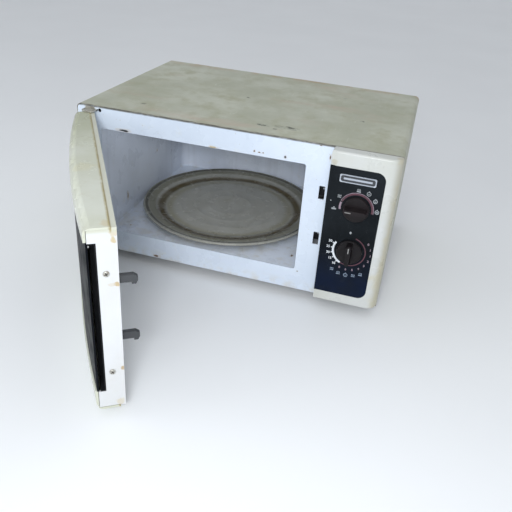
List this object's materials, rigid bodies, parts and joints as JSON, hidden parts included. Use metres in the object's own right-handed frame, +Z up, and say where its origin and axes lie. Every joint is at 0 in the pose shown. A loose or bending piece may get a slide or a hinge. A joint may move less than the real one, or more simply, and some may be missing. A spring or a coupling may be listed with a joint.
{
  "type": "microwave oven",
  "caption": "Countertop microwave oven with side-hung door, glass turntable, timer dial and power dial.",
  "frame": {"origin": "under the middle of the whole oven with its door standing open, at the level its feet stand on", "axes": "+Z up, +Y towards the back of the oven, +X towards its control panel"},
  "size_m": [0.459, 0.617, 0.241],
  "materials": {
    "cover_paint": "satin, aged cream-grey",
    "white_enamel": "glossy white enamel",
    "zinc_steel": "galvanised",
    "cream_plastic": "satin moulded",
    "white_plastic": "satin moulded",
    "black_window": "polished, dark",
    "black_fascia": "polished film",
    "black_plastic": "fine grain",
    "knob_plastic": "satin moulded",
    "grey_plastic": "moulded",
    "choke_plastic": "moulded",
    "screen_paint": "matt black, perforated",
    "badge_metal": "brushed",
    "tray_glass": "clear pressed glass",
    "bulb_glass": "clear",
    "roller_plastic": "moulded",
    "coupler_plastic": "moulded",
    "mica_sheet": "laminated",
    "core_steel": "laminated, varnished",
    "copper_wire": "enamelled winding",
    "anode_aluminium": "rolled fins",
    "can_aluminium": "drawn can",
    "board_laminate": "paper laminate",
    "bell_steel": "plated",
    "shaft_steel": "turned",
    "plated_steel": "zinc plated",
    "spring_wire": "drawn",
    "foot_rubber": "moulded"
  },
  "bodies": {
    "cabinet": {"outer_cover": "cover_paint", "base_plate": "zinc_steel", "feet": "foot_rubber", "rear_panel": "zinc_steel", "cord_gland": "black_plastic", "cover_screws": "plated_steel", "front_plate": "white_enamel", "cavity_liner": "white_enamel", "waveguide_cover": "mica_sheet", "waveguide": "zinc_steel", "magnetron_yoke": "zinc_steel", "magnetron_anode": "anode_aluminium", "transformer_core": "core_steel", "primary_winding": "copper_wire", "secondary_winding": "copper_wire", "capacitor": "can_aluminium", "capacitor_clamp": "zinc_steel", "hv_diode": "black_plastic", "fan_shroud": "grey_plastic", "fan_motor": "core_steel", "fan_coil": "copper_wire", "filter_board": "board_laminate", "thermal_cutout": "black_plastic", "lamp_holder": "zinc_steel", "lamp_bulb": "bulb_glass", "turntable_motor": "zinc_steel", "latch_board": "grey_plastic", "primary_switch": "black_plastic", "secondary_switch": "black_plastic", "control_frame": "cream_plastic", "control_fascia": "black_fascia", "badge": "badge_metal", "timer_body": "zinc_steel", "timer_bell": "bell_steel", "power_selector": "grey_plastic", "hinge_upper": "plated_steel", "hinge_lower": "plated_steel"},
    "door": {"door_shell": "cream_plastic", "door_window": "black_window", "door_inner_frame": "white_plastic", "choke_cover": "choke_plastic", "door_screen": "screen_paint", "door_choke": "zinc_steel", "grip_liner": "black_plastic", "door_screws": "plated_steel", "latch_spring": "spring_wire"},
    "latch": {"latch_hooks": "black_plastic"},
    "turntable_drive": {"drive_coupler": "coupler_plastic"},
    "tray": {"glass_tray": "tray_glass"},
    "roller_ring": {"roller_ring": "roller_plastic"},
    "roller_1": {"ring_roller_1": "roller_plastic"},
    "roller_2": {"ring_roller_2": "roller_plastic"},
    "roller_3": {"ring_roller_3": "roller_plastic"},
    "fan": {"fan_blade": "grey_plastic"},
    "timer_dial": {"timer_knob": "knob_plastic", "timer_shaft": "shaft_steel"},
    "power_dial": {"power_knob": "knob_plastic", "power_shaft": "shaft_steel"},
    "primary_plunger": {"primary_plunger": "grey_plastic"},
    "secondary_plunger": {"secondary_plunger": "grey_plastic"}
  },
  "joints": [
    {"name": "door_hinge", "type": "hinge", "parent": "cabinet", "child": "door", "pos_m": [-0.2065, -0.01066, 0.114], "axis": [0, 0, -1], "range_deg": [-56.3, 38.7]},
    {"name": "latch_lift", "type": "slide", "parent": "door", "child": "latch", "axis": [0, 0, 1], "range_m": [0, 0.003], "stiffness_N_per_m": 200, "springref_m": -0.004, "deforming": ["latch_spring"]},
    {"name": "turntable_spin", "type": "hinge", "parent": "cabinet", "child": "turntable_drive", "pos_m": [-0.044, 0.14733, 0.0423], "axis": [0, 0, 1], "continuous": true},
    {"name": "tray_lift", "type": "slide", "parent": "turntable_drive", "child": "tray", "axis": [0, 0, 1], "range_m": [0, 0.1]},
    {"name": "roller_ring_spin", "type": "hinge", "parent": "cabinet", "child": "roller_ring", "pos_m": [-0.044, 0.14733, 0.0423], "axis": [0, 0, 1], "continuous": true},
    {"name": "roller_1_spin", "type": "hinge", "parent": "roller_ring", "child": "roller_1", "pos_m": [0.04174, 0.19684, 0.0423], "axis": [0.866, 0.5, 0], "continuous": true},
    {"name": "roller_2_spin", "type": "hinge", "parent": "roller_ring", "child": "roller_2", "pos_m": [-0.12974, 0.19684, 0.0423], "axis": [-0.866, 0.5, 0], "continuous": true},
    {"name": "roller_3_spin", "type": "hinge", "parent": "roller_ring", "child": "roller_3", "pos_m": [-0.044, 0.04834, 0.0423], "axis": [0, -1, 0], "continuous": true},
    {"name": "fan_spin", "type": "hinge", "parent": "cabinet", "child": "fan", "pos_m": [0.17065, 0.28734, 0.162], "axis": [0, 1, 0], "continuous": true},
    {"name": "timer_turn", "type": "hinge", "parent": "cabinet", "child": "timer_dial", "pos_m": [0.181, -0.02047, 0.1035], "axis": [0, 1, 0], "range_deg": [0, 315]},
    {"name": "power_turn", "type": "hinge", "parent": "cabinet", "child": "power_dial", "pos_m": [0.181, -0.02047, 0.167], "axis": [0, 1, 0], "range_deg": [0, 200]},
    {"name": "primary_plunger_press", "type": "slide", "parent": "cabinet", "child": "primary_plunger", "axis": [0, 1, 0], "range_m": [0, 0.002], "stiffness_N_per_m": 300, "springref_m": -0.001},
    {"name": "secondary_plunger_press", "type": "slide", "parent": "cabinet", "child": "secondary_plunger", "axis": [0, 1, 0], "range_m": [0, 0.002], "stiffness_N_per_m": 300, "springref_m": -0.001}
  ],
  "couplings": [
    {"joint": "roller_ring_spin", "follows": "turntable_spin", "ratio": 0.5},
    {"joint": "roller_1_spin", "follows": "turntable_spin", "ratio": -8.25},
    {"joint": "roller_2_spin", "follows": "turntable_spin", "ratio": -8.25},
    {"joint": "roller_3_spin", "follows": "turntable_spin", "ratio": -8.25}
  ]
}
